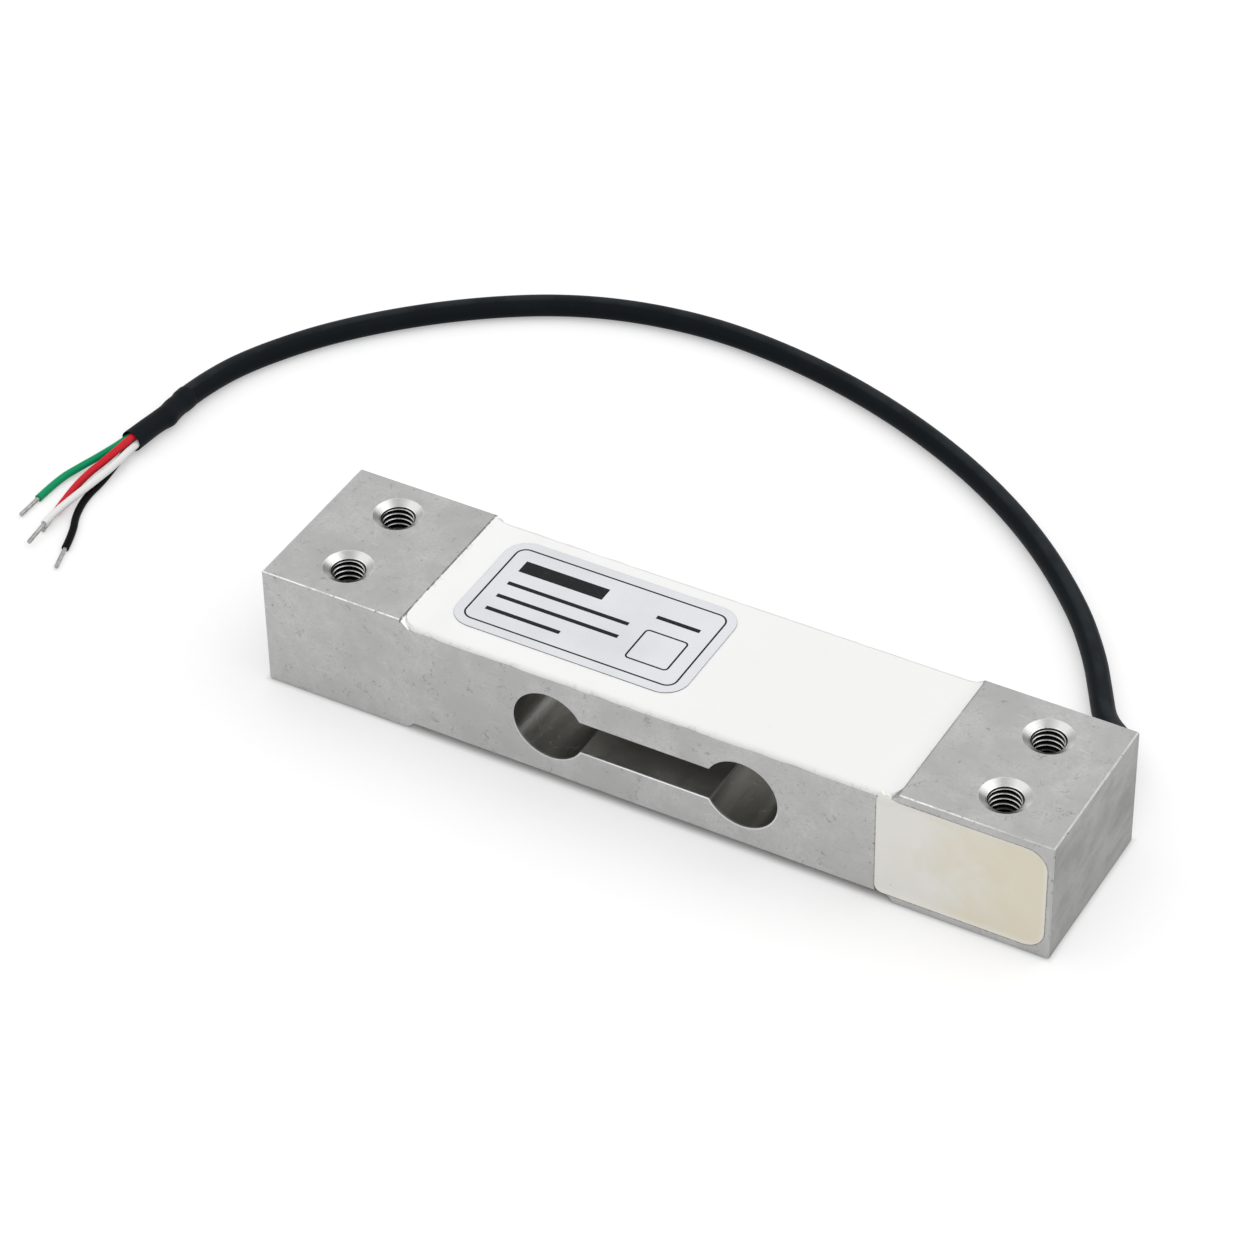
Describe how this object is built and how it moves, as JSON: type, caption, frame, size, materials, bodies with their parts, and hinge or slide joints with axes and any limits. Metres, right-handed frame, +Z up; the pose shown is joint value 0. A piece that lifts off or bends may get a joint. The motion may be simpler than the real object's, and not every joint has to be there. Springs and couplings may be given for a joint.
{
  "type": "weighing load cell",
  "caption": "Single-point weighing load cell: milled beam with a dumbbell opening, sealed strain gauges, a potted side pocket and a short signal cable with bare ends.",
  "frame": {"origin": "centre of the beam's underside, in the plane of the two lower pads", "axes": "+X along the beam towards the cable end, +Z up to the label, -Y towards the face with the potted pocket"},
  "size_m": [0.1966, 0.1164, 0.022],
  "materials": {
    "milled_aluminium": "milled satin with worn edges",
    "gauge_film": "amber film with etched foil",
    "lead_enamel": "thin coloured insulation",
    "board_laminate": "solder-masked laminate",
    "resistor_body": "wound bobbin",
    "potting_resin": "cream cured resin, smooth",
    "white_sealant": "white cured silicone, soft sheen",
    "label_film": "silver-grey film",
    "cable_sheath": "black satin sheath",
    "seal_bead": "cured black seal",
    "shrink_sleeve": "black shrunk sleeve",
    "tinned_copper": "twisted strands dipped in tin",
    "insulation_green": "green insulation",
    "insulation_red": "red insulation",
    "insulation_black": "black insulation",
    "insulation_white": "white insulation"
  },
  "bodies": {
    "root": {"load_cell_beam": "milled_aluminium", "compensation_board": "board_laminate", "side_potting": "potting_resin", "top_sealant": "white_sealant", "bottom_sealant": "white_sealant", "blank_label": "label_film", "inner_cable_length": "cable_sheath", "cable_seal": "seal_bead", "signal_cable": "cable_sheath", "heat_shrink_sleeve": "shrink_sleeve", "strain_gauge_top_left": "gauge_film", "strain_gauge_top_right": "gauge_film", "strain_gauge_bottom_left": "gauge_film", "strain_gauge_bottom_right": "gauge_film", "gauge_leads_top_left": "lead_enamel", "gauge_leads_top_right": "lead_enamel", "gauge_leads_bottom_left": "lead_enamel", "gauge_leads_bottom_right": "lead_enamel", "zero_trim_resistor": "resistor_body", "span_trim_resistor": "resistor_body", "temperature_resistor": "resistor_body", "cable_core_green": "insulation_green", "cable_core_red": "insulation_red", "cable_core_black": "insulation_black", "cable_core_white": "insulation_white", "wire_green": "insulation_green", "wire_red": "insulation_red", "wire_black": "insulation_black", "wire_white": "insulation_white", "tinned_end_green": "tinned_copper", "tinned_end_red": "tinned_copper", "tinned_end_black": "tinned_copper", "tinned_end_white": "tinned_copper"}
  },
  "joints": []
}
